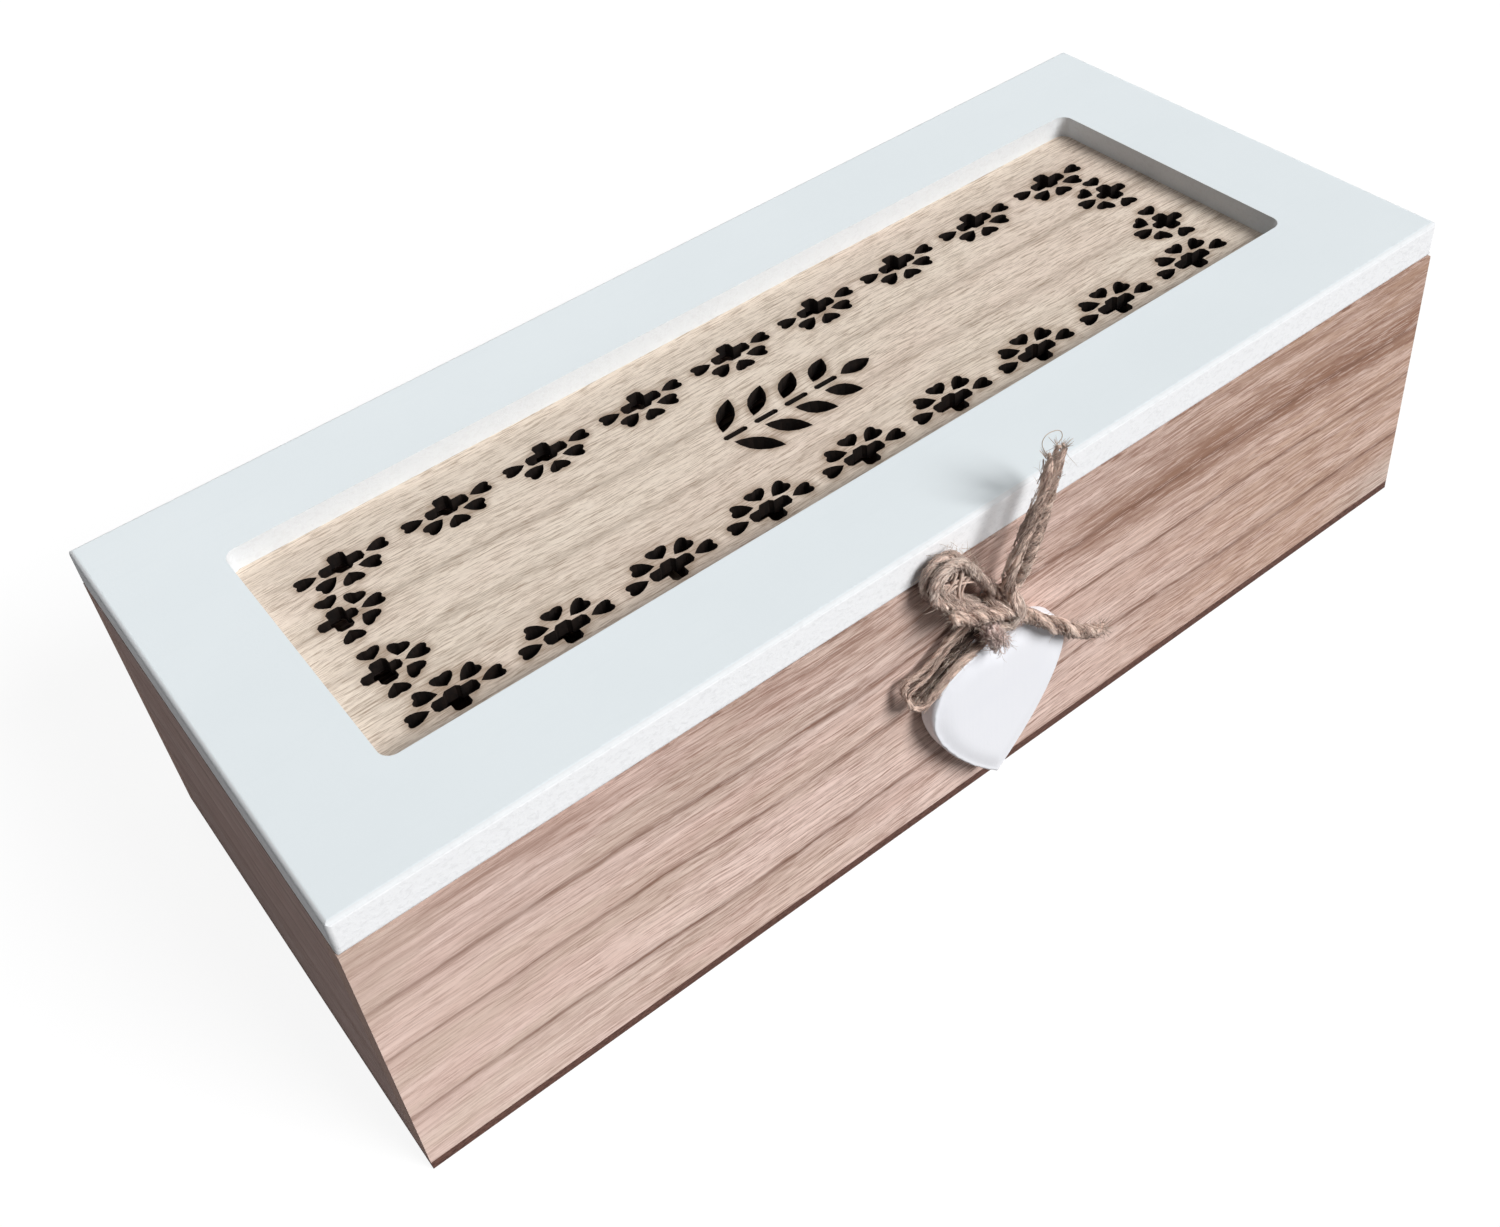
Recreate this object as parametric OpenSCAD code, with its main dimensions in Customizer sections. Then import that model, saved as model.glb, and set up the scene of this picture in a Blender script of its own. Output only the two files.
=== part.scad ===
// Tea bag organizer box: three compartments under a hinged lid with a fretwork panel.
// A twine bow on the front wall carries a small wooden heart.
// Millimetres. +X along the length, +Y to the back, +Z up, origin at the centre of the underside.

/* [Box] */
// Outside length
box_l = 240; // [228:1:270]
// Outside depth, front to back
box_w = 100; // [98:1:120]
// Height of the body without the lid
body_h = 61; // [58:1:75]
// Thickness of the front, back and end walls
wall_t = 6; // [6:0.5:8]
// Thickness of the hardboard base panel
base_t = 2; // [2:0.5:4]

/* [Compartments] */
// Thickness of the two dividers
divider_t = 3; // [2:0.5:4]
// Depth of the dado slots that hold the dividers
dado_d = 1.5; // [1:0.5:2.5]
// Distance from the rim of the body down to the top of the dividers
divider_drop = 7; // [3:1:15]

/* [Lid] */
// Thickness of the lid frame
lid_t = 7.7; // [7:0.1:10]
// Rounding of the painted edges of the lid
edge_r = 0.9; // [0.5:0.1:1.2]
// Width of the lid frame round its window
frame_w = 20.25; // [18:0.25:21]
// Thickness of the fretwork panel
panel_t = 3; // [2:0.5:4]
// Width of the rabbet that holds the panel
rabbet_w = 4; // [3:0.5:6]
// Gap between the rim of the body and the closed lid
seam_gap = 0.3; // [0.3:0.1:0.5]

/* [Hinges] */
// Distance of each hinge from the end of the box
hinge_inset = 45; // [30:1:60]
// Length of a hinge
hinge_l = 18; // [18:1:24]
// Thickness of a hinge leaf
leaf_t = 0.6; // [0.6:0.1:0.8]
// Radius of the hinge pin
hinge_pin_r = 0.7; // [0.6:0.05:0.8]
// Largest opening angle of the lid
lid_open = 105; // [95:1:115]

/* [Bow and heart] */
// Diameter of the twine
twine_d = 2; // [1.6:0.1:2]
// Diameter of the three loosened tails beside the heart
loose_d = 3; // [2.4:0.2:3]
// Radius of the knot
knot_r = 3; // [2.8:0.1:3]
// Thickness of the heart
heart_t = 4.1; // [3.5:0.1:4.3]
// Depth of the eased edge on the front of the heart
heart_ease = 1.2; // [0.6:0.2:1.4]

/* [Hidden] */
$fn = 48;

// Clearances: slid-in boards, running hinge bores, moving round faces, hinge knuckle ends.
slide_fit = 0.1;
bore_fit = 0.05;
round_gap = 0.3;
knuckle_gap = 0.15;

// Body.
wall_h = body_h - base_t;
inside_l = box_l - 2 * wall_t;
inside_w = box_w - 2 * wall_t;
divider_x = (inside_l + divider_t) / 6;
divider_h = wall_h - divider_drop;
brad_r = 0.6;
brad_l = base_t + 9;
brad_head_r = 1.2;
brad_head_t = 0.4;
brad_inset = 12;

// Lid.
lid_z = body_h + seam_gap;
top_z = lid_z + lid_t;
window_l = box_l - 2 * frame_w;
window_w = box_w - 2 * frame_w;
window_r = 2.4;

// Hinges: the pin lies behind the back wall, level with the seam.
hinge_x = box_l / 2 - hinge_inset;
knuckle_r = 1.6;
pin_y = box_w / 2 + round_gap + knuckle_r;
pin_z = body_h + seam_gap / 2;
pin_head_r = 1.1;
pin_head_t = 0.5;
leaf_w = 5;
leaf_sink = leaf_t - 0.05;
outer_knuckle_l = hinge_l / 3;
middle_knuckle_l = hinge_l / 3 - 2 * knuckle_gap;
heel_l = 4.5;
heel_gap = 0.1;
screw_r = 0.75;
screw_head_r = 1.3;
screw_head_t = 0.4;
screw_x = hinge_l / 3;
screw_y = box_w / 2 - 2.7;
box_screw_l = 7;
lid_screw_l = 5;

// Fretwork: places of the row motifs and of the side motifs. The whole pattern sits a little to the front.
row_count = 9;
row_pitch = window_l / 9.52;
row_y = window_w / 2 - 9.85;
row_shift = -1.55;
side_x = window_l / 2 - 9.65;
side_y = 7.75;
side_shift = -1.2;
slot_chamfer = 0.6;

// Bow: middle of the knot, and the headless brad that carries it.
knot_out = 3.6;
knot_drop = 11.2;
knot = [1.6, -box_w / 2 - knot_out, body_h - knot_drop];
bow_pin_r = 0.75;
bow_pin_in = 4;
bow_pin_out = 4.3;
front_y = -box_w / 2;

// Heart: lobe radius, half distance of the lobes, depth of the tip below them, fullness, lean, place.
lobe_r = 10.2;
lobe_x = 5.7;
tip_drop = 25.3;
fullness = 0.4;
heart_lean = 2;
heart_drop = 29.8;
heart_gap = 1;
heart_at = [1.4, front_y - heart_gap, body_h - heart_drop];
back_ease = 0.6;
strand_in = 3;

// Twine routes, as offsets from the middle of the knot.
loop_front_route = [[-0.4, -1.3, 2.2], [-2.2, -1.2, 6], [-4.3, -1, 10.2], [-6.4, -0.7, 14.5],
    [-8.2, -0.6, 16.5], [-11.2, -0.5, 17], [-13.8, -0.5, 15.5], [-14.8, -0.5, 12.7], [-14, -0.5, 10.2],
    [-12.6, -0.6, 8.7], [-9.2, -0.9, 6], [-5.6, -1.1, 3.2], [-2.1, -1.3, 0.6]];
loop_back_route = [[-0.7, 1.1, 2.2], [-2.2, 1.2, 6], [-4.3, 1.4, 10.2], [-6.4, 1.6, 14.5],
    [-8.2, 1.6, 16.5], [-11.2, 1.6, 17], [-13.8, 1.6, 15.5], [-14.8, 1.6, 12.7], [-14, 1.6, 10.2],
    [-12.6, 1.5, 8.7], [-9.2, 1.3, 6], [-5.6, 1.2, 3.2], [-2.1, 1.1, 0.6]];
tail_up_twisted_route = [[1.8, 0.2, 1.4], [2.7, -1, 5.4], [3.7, -2, 9.8], [6.1, -2.2, 14.6],
    [8.7, -2.2, 19.8], [11, -1.9, 24.6], [12.6, -1.6, 29.2]];
tail_up_smooth_route = [[1.4, -2.2, 0.9], [0.7, -3.6, 5], [0.6, -4.1, 10], [2.5, -4.2, 15.6],
    [5.1, -4, 21.4], [7.3, -3.5, 25.8], [8.6, -3.1, 30.2]];
bow_stub_route = [[-0.5, -2.9, 0.2], [-3, -3.6, 2.2], [-6.2, -3.6, 3.9], [-10.2, -3.4, 6], [-13, -3.2, 7.8]];
tail_left_route = [[-2.9, 0.3, -4.3], [-5.8, 0.6, -4.2], [-8.7, 0.8, -6.2], [-11.6, 0.9, -7.9],
    [-14.1, 0.9, -9.3], [-17.1, 0.7, -10.5], [-18.8, 0.6, -10.9]];
tail_right_route = [[3.3, -2.4, -2.9], [5.4, -2.7, -5.3], [7.4, -2.8, -7.4], [9.2, -3.2, -9.2],
    [11.2, -3.3, -11.3], [15.4, -3.2, -15.6], [20.7, -2.3, -20.3], [24.8, -1.7, -22.7]];
tail_short_route = [[-3.3, -3, -2.9], [-2.8, -3.2, -4.4], [-2.3, -3.3, -6.1]];
strand_top = [0, 0.1, -knot_r - round_gap];

// Helpers.
module at_ends() {
    for (side = [-1, 1])
        translate([side * hinge_x, 0, 0]) children();
}

module round_rect(l, w, r) {
    square([l - 2 * r, w], center = true);
    square([l, w - 2 * r], center = true);
    for (x = [-1, 1], y = [-1, 1])
        translate([x * (l / 2 - r), y * (w / 2 - r)]) circle(r);
}

module chamfered_slot(l, w, c) {
    polygon([[-l / 2 + c, -w / 2], [l / 2 - c, -w / 2], [l / 2, -w / 2 + c], [l / 2, w / 2 - c],
        [l / 2 - c, w / 2], [-l / 2 + c, w / 2], [-l / 2, w / 2 - c], [-l / 2, -w / 2 + c]]);
}

// Rod along +X from x0 to x1 on the hinge axis.
module on_axis(x0, x1, r) {
    translate([x0, pin_y, pin_z]) rotate([0, 90, 0]) cylinder(h = x1 - x0, r = r);
}

// Places of the base brads: four along each long wall and one in each end wall.
brad_spots = concat(
    [for (x = [-3, -1, 1, 3], y = [-1, 1]) [x * (box_l / 2 - brad_inset) / 3, y * (box_w - wall_t) / 2]],
    [for (x = [-1, 1]) [x * (box_l - wall_t) / 2, 0]]);

module brads() {
    for (p = brad_spots)
        translate([p[0], p[1], 0]) {
            cylinder(h = brad_l, r = brad_r);
            cylinder(h = brad_head_t, r = brad_head_r);
        }
}

module dado(side) {
    translate([side * divider_x - divider_t / 2 - slide_fit, -inside_w / 2 - dado_d, base_t])
        cube([divider_t + 2 * slide_fit, inside_w + 2 * dado_d, divider_h + slide_fit]);
}

// Flat-headed screws of one leaf, pointing down (dir -1) or up (dir 1) from the leaf face at z.
module leaf_screws(z, dir, length) {
    for (x = [-screw_x, screw_x])
        translate([x, screw_y, z]) mirror([0, 0, dir < 0 ? 1 : 0]) {
            cylinder(h = length, r = screw_r);
            cylinder(h = screw_head_t, r = screw_head_r);
        }
}

module box_screws() {
    at_ends() leaf_screws(body_h - leaf_sink + leaf_t, -1, box_screw_l);
}

module lid_screws() {
    at_ends() leaf_screws(lid_z + leaf_sink - leaf_t, 1, lid_screw_l);
}

// Body boards.
module base_panel() {
    color("SaddleBrown") difference() {
        translate([-box_l / 2, -box_w / 2, 0]) cube([box_l, box_w, base_t]);
        brads();
    }
}

module long_wall(side) {
    y0 = side < 0 ? -box_w / 2 : box_w / 2 - wall_t;
    difference() {
        translate([-box_l / 2, y0, base_t]) cube([box_l, wall_t, wall_h]);
        dado(-1);
        dado(1);
        brads();
    }
}

module front_wall() {
    color("Tan") difference() {
        long_wall(-1);
        bow_pin_solid();
    }
}

module back_wall() {
    color("Tan") difference() {
        long_wall(1);
        at_ends() translate([-hinge_l / 2, box_w / 2 - leaf_w, body_h - leaf_sink])
            cube([hinge_l, leaf_w + 1, leaf_t]);
        box_screws();
    }
}

module end_wall(side) {
    x0 = side < 0 ? -box_l / 2 : box_l / 2 - wall_t;
    color("Tan") difference() {
        translate([x0, -inside_w / 2, base_t]) cube([wall_t, inside_w, wall_h]);
        brads();
    }
}

module left_wall() {
    end_wall(-1);
}

module right_wall() {
    end_wall(1);
}

module divider(side) {
    length = inside_w + 2 * (dado_d - slide_fit);
    color("BurlyWood") translate([side * divider_x - divider_t / 2, -length / 2, base_t])
        cube([divider_t, length, divider_h]);
}

module divider_left() {
    divider(-1);
}

module divider_right() {
    divider(1);
}

module base_brads() {
    color("Silver") brads();
}

// Hinges.
module box_leaf() {
    neck = pin_y - box_w / 2 - hinge_pin_r;
    difference() {
        union() {
            translate([-hinge_l / 2, box_w / 2 - leaf_w, body_h - leaf_sink])
                cube([hinge_l, leaf_w, leaf_t]);
            for (x = [-hinge_l / 2, hinge_l / 2 - outer_knuckle_l]) {
                on_axis(x, x + outer_knuckle_l, knuckle_r);
                translate([x, box_w / 2 - 1, body_h - leaf_sink]) cube([outer_knuckle_l, neck + 1, leaf_t]);
            }
        }
        on_axis(-hinge_l, hinge_l, hinge_pin_r);
        leaf_screws(body_h - leaf_sink + leaf_t, -1, box_screw_l);
    }
}

function turned(p, a) = [p[0] * cos(a) - p[1] * sin(a), p[0] * sin(a) + p[1] * cos(a)];

// The heel behind the middle knuckle meets the back wall when the lid is fully open.
module lid_leaf() {
    x0 = -middle_knuckle_l / 2;
    z0 = lid_z + leaf_sink - leaf_t;
    neck = pin_y - box_w / 2 - hinge_pin_r;
    y0 = box_w / 2 - pin_y + heel_gap;
    y1 = y0 + leaf_t;
    difference() {
        union() {
            translate([-hinge_l / 2, box_w / 2 - leaf_w, z0]) cube([hinge_l, leaf_w, leaf_t]);
            on_axis(x0, -x0, knuckle_r);
            translate([x0, box_w / 2 - 1, z0]) cube([middle_knuckle_l, neck + 1, leaf_t]);
            translate([x0, pin_y, pin_z]) rotate([90, 0, 90]) linear_extrude(middle_knuckle_l)
                polygon([for (p = [[y0, -heel_l], [y1, -heel_l], [y1, 0], [y0, 0]]) turned(p, lid_open)]);
        }
        on_axis(-hinge_l, hinge_l, hinge_pin_r + bore_fit);
        leaf_screws(z0, 1, lid_screw_l);
    }
}

module leaf_pin() {
    on_axis(-hinge_l / 2, hinge_l / 2, hinge_pin_r);
    on_axis(-hinge_l / 2 - pin_head_t, -hinge_l / 2, pin_head_r);
    on_axis(hinge_l / 2, hinge_l / 2 + pin_head_t, pin_head_r);
}

module hinge_left_box_leaf() {
    color("Goldenrod") translate([-hinge_x, 0, 0]) box_leaf();
}

module hinge_right_box_leaf() {
    color("Goldenrod") translate([hinge_x, 0, 0]) box_leaf();
}

module hinge_left_lid_leaf() {
    color("Goldenrod") translate([-hinge_x, 0, 0]) lid_leaf();
}

module hinge_right_lid_leaf() {
    color("Goldenrod") translate([hinge_x, 0, 0]) lid_leaf();
}

module hinge_left_pin() {
    color("Silver") translate([-hinge_x, 0, 0]) leaf_pin();
}

module hinge_right_pin() {
    color("Silver") translate([hinge_x, 0, 0]) leaf_pin();
}

module hinge_screws_box() {
    color("Silver") box_screws();
}

module hinge_screws_lid() {
    color("Silver") lid_screws();
}

// Lid board with rounded edges: where three rounded prisms meet.
module lid_blank() {
    translate([0, 0, lid_z + lid_t / 2]) intersection() {
        linear_extrude(lid_t, center = true) round_rect(box_l, box_w, edge_r);
        rotate([90, 0, 90]) linear_extrude(box_l, center = true) round_rect(box_w, lid_t, edge_r);
        rotate([90, 0, 0]) linear_extrude(box_w, center = true) round_rect(box_l, lid_t, edge_r);
    }
}

module lid_frame() {
    color("WhiteSmoke") difference() {
        lid_blank();
        translate([0, 0, lid_z - 1]) linear_extrude(lid_t + 2) round_rect(window_l, window_w, window_r);
        translate([-window_l / 2 - rabbet_w, -window_w / 2 - rabbet_w, lid_z - 1])
            cube([window_l + 2 * rabbet_w, window_w + 2 * rabbet_w, panel_t + 1]);
        at_ends() translate([-hinge_l / 2, box_w / 2 - leaf_w, lid_z + leaf_sink - leaf_t])
            cube([hinge_l, leaf_w + 1, leaf_t]);
        lid_screws();
    }
}

// Heart cut-out with its tip at the origin, pointing back along +X.
module cut_heart(length, width) {
    half = [[0.24, 0.27], [0.46, 0.43], [0.68, 0.5], [0.86, 0.49], [0.97, 0.38], [1, 0.2]];
    polygon(concat(
        [[0, 0]],
        [for (p = half) [p[0] * length, -p[1] * width]],
        [[0.92 * length, 0]],
        [for (i = [len(half) - 1:-1:0]) [half[i][0] * length, half[i][1] * width]]));
}

module heart_at_angle(angle, tip, length, width) {
    translate(tip) rotate(angle) cut_heart(length, width);
}

// Row motif with its fan of hearts towards +Y.
module row_motif() {
    translate([0, -0.6]) chamfered_slot(3.2, 5.3, slot_chamfer);
    chamfered_slot(8.4, 2.6, slot_chamfer);
    heart_at_angle(90, [0, 2.75], 3, 4.1);
    for (side = [-1, 1]) mirror([side < 0 ? 1 : 0, 0]) {
        heart_at_angle(0, [4.7, 0], 4.2, 2.95);
        heart_at_angle(22, [2.05, 2.2], 4.2, 3.2);
    }
}

// Side motif with its fan of hearts towards +X.
module side_motif() {
    chamfered_slot(3.2, 5.9, slot_chamfer);
    translate([-0.35, 0]) chamfered_slot(7.3, 2.3, slot_chamfer);
    heart_at_angle(0, [3.95, 0], 4.3, 3);
    for (side = [-1, 1]) mirror([0, side < 0 ? 1 : 0]) {
        heart_at_angle(90, [0, 3.4], 2.9, 4.1);
        heart_at_angle(60, [3.4, 1.5], 3, 3.9);
    }
}

module cut_leaf(length, width) {
    upper = [[0.12, 0.22], [0.32, 0.44], [0.52, 0.5], [0.72, 0.4], [0.9, 0.18]];
    polygon(concat(
        [[0, 0]],
        [for (p = upper) [p[0] * length, -p[1] * width]],
        [[length, 0]],
        [for (i = [len(upper) - 1:-1:0]) [upper[i][0] * length, upper[i][1] * width]]));
}

// Sprig in the middle of the panel: a stem in short slots, with pairs of leaves and a bud.
module sprig() {
    for (i = [0:3])
        translate([-13.4 + 7 * i, 0]) chamfered_slot(5.2, 1.2, 0.4);
    for (i = [0:3], side = [-1, 1])
        translate([-15 + 7 * i, side * 1.7]) rotate(side * (48 - 3 * i)) cut_leaf(9.6 - 0.8 * i, 3.6);
    translate([11.2, 0]) cut_leaf(7, 3.6);
}

module fretwork() {
    first = -(row_count - 1) / 2;
    for (i = [0:row_count - 1], side = [-1, 1])
        translate([(first + i) * row_pitch, row_shift + side * row_y])
            mirror([0, side > 0 ? 1 : 0]) row_motif();
    for (x = [-1, 1], y = [-1, 1])
        translate([x * side_x, side_shift + y * side_y]) mirror([x > 0 ? 1 : 0, 0]) side_motif();
    translate([0, side_shift]) sprig();
}

module lid_panel() {
    color("BurlyWood") translate([0, 0, lid_z]) linear_extrude(panel_t) difference() {
        square([window_l + 2 * (rabbet_w - slide_fit), window_w + 2 * (rabbet_w - slide_fit)],
            center = true);
        fretwork();
    }
}

// Bow.
module bow_pin_solid() {
    translate([knot[0], front_y + bow_pin_in, knot[2]]) rotate([90, 0, 0])
        cylinder(h = bow_pin_in + bow_pin_out, r = bow_pin_r);
}

module bow_pin() {
    color("Silver") bow_pin_solid();
}

module twine_knot() {
    color("Peru") difference() {
        translate(knot) sphere(knot_r);
        translate([knot[0], front_y, knot[2]]) rotate([90, 0, 0])
            cylinder(h = bow_pin_out + 0.2, r = bow_pin_r + bore_fit);
    }
}

// Twine tube: rings of eight points square to the route, joined by triangles.
sides = 8;
function unit(v) = v / norm(v);
function heading(p, i) = unit(p[min(i + 1, len(p) - 1)] - p[max(i - 1, 0)]);
function ring(centre, t, r) =
    let (u = unit(cross([0, 1, 0], t)), v = cross(t, u))
    [for (k = [0:sides - 1])
        centre + r * (cos(360 * (k + 0.5) / sides) * u + sin(360 * (k + 0.5) / sides) * v)];

module twine(route, d = twine_d) {
    n = len(route);
    points = [for (i = [0:n - 1]) each ring(knot + route[i], heading(route, i), d / 2)];
    walls = [for (i = [0:n - 2], k = [0:sides - 1])
        let (a = sides * i + k, b = sides * i + (k + 1) % sides)
        each [[a, a + sides, b + sides], [a, b + sides, b]]];
    first_end = [for (k = [0:sides - 1]) k];
    last_end = [for (k = [sides - 1:-1:0]) sides * (n - 1) + k];
    color("Peru") polyhedron(points, concat([first_end], walls, [last_end]));
}

module bow_loop_front() {
    twine(loop_front_route);
}

module bow_loop_back() {
    twine(loop_back_route);
}

module tail_up_twisted() {
    twine(tail_up_twisted_route);
}

module tail_up_smooth() {
    twine(tail_up_smooth_route);
}

module bow_stub() {
    twine(bow_stub_route);
}

module tail_left() {
    twine(tail_left_route, loose_d);
}

module tail_right() {
    twine(tail_right_route, loose_d);
}

module tail_short() {
    twine(tail_short_route, loose_d);
}

// Heart outline in its own plane, lobes at height 0: lobe arc, then a curve down to the tip.
notch_z = sqrt(lobe_r * lobe_r - lobe_x * lobe_x);
arc_start = atan2(notch_z, -lobe_x);
arc_end = -14;
arc_steps = 14;
side_steps = 8;
arc_tail = [lobe_x + lobe_r * cos(arc_end), lobe_r * sin(arc_end)];
heart_tip = [0, -tip_drop];
bulge = arc_tail + fullness * norm(heart_tip - arc_tail) * [sin(arc_end), -cos(arc_end)];
right_half = concat(
    [for (i = [0:arc_steps])
        let (a = arc_start + (arc_end - arc_start) * i / arc_steps)
        [lobe_x + lobe_r * cos(a), lobe_r * sin(a)]],
    [for (i = [1:side_steps])
        let (t = i / side_steps)
        (1 - t) * (1 - t) * arc_tail + 2 * t * (1 - t) * bulge + t * t * heart_tip]);
heart_outline = concat(
    right_half,
    [for (i = [len(right_half) - 2:-1:1]) [-right_half[i][0], right_half[i][1]]]);
outline_n = len(heart_outline);

function inset_point(i, depth) =
    let (d = unit(heart_outline[(i + 1) % outline_n] - heart_outline[(i + outline_n - 1) % outline_n]))
    heart_outline[i] + depth * [d[1], -d[0]];

// Rings of the heart from its back to its front: [distance from the back, inset].
heart_rings = [[0, back_ease], [back_ease, 0], [heart_t - heart_ease, 0],
    [heart_t - 0.35 * heart_ease, 0.3 * heart_ease], [heart_t, heart_ease]];

module heart_solid() {
    n = outline_n;
    rings = len(heart_rings);
    points = concat(
        [for (h = heart_rings, i = [0:n - 1])
            let (p = inset_point(i, h[1]))
            [p[0], -h[0], p[1]]],
        [[0, 0, 0], [0, -heart_t, 0]]);
    walls = [for (j = [0:rings - 2], i = [0:n - 1])
        let (a = n * j + i, b = n * j + (i + 1) % n)
        each [[a + n, a, b], [a + n, b, b + n]]];
    back = [for (i = [0:n - 1]) [n * rings, (i + 1) % n, i]];
    front = [for (i = [0:n - 1]) [n * rings + 1, n * (rings - 1) + i, n * (rings - 1) + (i + 1) % n]];
    polyhedron(points, concat(walls, back, front));
}

// The strand runs straight from the blind hole in the notch to just under the knot.
notch_at = heart_at + [notch_z * sin(heart_lean), -heart_t / 2, notch_z * cos(heart_lean)];
strand_dir = unit(knot + strand_top - notch_at);
strand_foot = notch_at - strand_in * strand_dir;
strand_route = [strand_foot - knot, notch_at - knot, strand_top];

module heart() {
    color("White") difference() {
        translate(heart_at) rotate([0, heart_lean, 0]) heart_solid();
        translate(strand_foot) rotate([-atan2(strand_dir[1], strand_dir[2]), 0, 0])
            rotate([0, asin(strand_dir[0]), 0]) cylinder(h = 2 * strand_in, r = twine_d / 2);
    }
}

module heart_strand() {
    twine(strand_route);
}

base_panel();
front_wall();
back_wall();
left_wall();
right_wall();
divider_left();
divider_right();
base_brads();
hinge_left_box_leaf();
hinge_right_box_leaf();
hinge_left_pin();
hinge_right_pin();
hinge_screws_box();
bow_pin();
lid_frame();
lid_panel();
hinge_left_lid_leaf();
hinge_right_lid_leaf();
hinge_screws_lid();
twine_knot();
bow_loop_front();
bow_loop_back();
tail_up_twisted();
tail_up_smooth();
bow_stub();
heart();
heart_strand();
tail_left();
tail_right();
tail_short();
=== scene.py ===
"""Looks of the tea bag organizer box: wood, paint, fretwork, twine bow and heart."""

import math

import bpy
import numpy as np
from mathutils import Matrix, Vector


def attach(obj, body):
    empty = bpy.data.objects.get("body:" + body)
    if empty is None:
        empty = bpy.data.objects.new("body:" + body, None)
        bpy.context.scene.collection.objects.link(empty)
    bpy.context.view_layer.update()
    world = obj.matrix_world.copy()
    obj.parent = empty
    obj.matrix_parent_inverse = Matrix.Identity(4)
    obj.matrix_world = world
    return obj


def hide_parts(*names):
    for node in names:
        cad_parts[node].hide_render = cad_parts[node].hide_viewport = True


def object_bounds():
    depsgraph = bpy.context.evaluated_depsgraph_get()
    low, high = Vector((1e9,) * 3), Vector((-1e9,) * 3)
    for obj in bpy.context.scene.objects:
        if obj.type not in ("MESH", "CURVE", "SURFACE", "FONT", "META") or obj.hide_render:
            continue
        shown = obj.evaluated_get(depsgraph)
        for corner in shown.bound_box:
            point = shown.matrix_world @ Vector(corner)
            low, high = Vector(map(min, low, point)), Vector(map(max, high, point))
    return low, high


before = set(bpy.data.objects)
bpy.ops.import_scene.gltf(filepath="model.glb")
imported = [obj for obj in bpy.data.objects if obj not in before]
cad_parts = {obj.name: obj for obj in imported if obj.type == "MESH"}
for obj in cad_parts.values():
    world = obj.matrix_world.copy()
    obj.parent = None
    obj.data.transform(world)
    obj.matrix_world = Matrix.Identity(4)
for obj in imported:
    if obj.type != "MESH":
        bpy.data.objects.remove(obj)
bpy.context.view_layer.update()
MM = 0.001
TAU = 2 * math.pi

# ---------------------------------------------------------------- camera
# A pinhole camera, fitted to the corners of the box in the photo.
scene = bpy.context.scene
camera_data = bpy.data.cameras.new("camera")
camera_data.sensor_fit = "HORIZONTAL"
camera_data.sensor_width = 36
camera_data.lens = 41.34
camera_data.shift_x = 0.0031
camera_data.shift_y = -0.0936
camera_data.clip_start = 0.01
camera_data.clip_end = 20
camera = bpy.data.objects.new("camera", camera_data)
scene.collection.objects.link(camera)
camera.matrix_world = Matrix((
    (0.79336, 0.45899, -0.39988, -0.1399),
    (-0.60082, 0.48474, -0.63564, -0.2038),
    (-0.09791, 0.74455, 0.66035, 0.2645),
    (0, 0, 0, 1),
))
scene.camera = camera
scene.view_settings.view_transform = "Standard"

# ---------------------------------------------------------------- twine routes
# The routes of part.scad, in millimetres from the middle of the knot.
KNOT = np.array([1.6, -53.6, 49.8])
ROUTES = {
    "bow_loop_front": [[-0.4, -1.3, 2.2], [-2.2, -1.2, 6], [-4.3, -1, 10.2], [-6.4, -0.7, 14.5],
                       [-8.2, -0.6, 16.5], [-11.2, -0.5, 17], [-13.8, -0.5, 15.5], [-14.8, -0.5, 12.7],
                       [-14, -0.5, 10.2], [-12.6, -0.6, 8.7], [-9.2, -0.9, 6], [-5.6, -1.1, 3.2],
                       [-2.1, -1.3, 0.6]],
    "bow_loop_back": [[-0.7, 1.1, 2.2], [-2.2, 1.2, 6], [-4.3, 1.4, 10.2], [-6.4, 1.6, 14.5],
                      [-8.2, 1.6, 16.5], [-11.2, 1.6, 17], [-13.8, 1.6, 15.5], [-14.8, 1.6, 12.7],
                      [-14, 1.6, 10.2], [-12.6, 1.5, 8.7], [-9.2, 1.3, 6], [-5.6, 1.2, 3.2],
                      [-2.1, 1.1, 0.6]],
    "tail_up_twisted": [[1.8, 0.2, 1.4], [2.7, -1, 5.4], [3.7, -2, 9.8], [6.1, -2.2, 14.6],
                        [8.7, -2.2, 19.8], [11, -1.9, 24.6], [12.6, -1.6, 29.2]],
    "tail_up_smooth": [[1.4, -2.2, 0.9], [0.7, -3.6, 5], [0.6, -4.1, 10], [2.5, -4.2, 15.6],
                       [5.1, -4, 21.4], [7.3, -3.5, 25.8], [8.6, -3.1, 30.2]],
    "bow_stub": [[-0.5, -2.9, 0.2], [-3, -3.6, 2.2], [-6.2, -3.6, 3.9], [-10.2, -3.4, 6],
                 [-13, -3.2, 7.8]],
    "tail_left": [[-2.9, 0.3, -4.3], [-5.8, 0.6, -4.2], [-8.7, 0.8, -6.2], [-11.6, 0.9, -7.9],
                  [-14.1, 0.9, -9.3], [-17.1, 0.7, -10.5], [-18.8, 0.6, -10.9]],
    "tail_right": [[3.3, -2.4, -2.9], [5.4, -2.7, -5.3], [7.4, -2.8, -7.4], [9.2, -3.2, -9.2],
                   [11.2, -3.3, -11.3], [15.4, -3.2, -15.6], [20.7, -2.3, -20.3], [24.8, -1.7, -22.7]],
    "tail_short": [[-3.3, -3, -2.9], [-2.8, -3.2, -4.4], [-2.3, -3.3, -6.1]],
    "heart_strand": [[0.14, 0.75, -13.14], [0.1, 0.55, -10.15], [0, 0.1, -3.3]],
}
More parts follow.
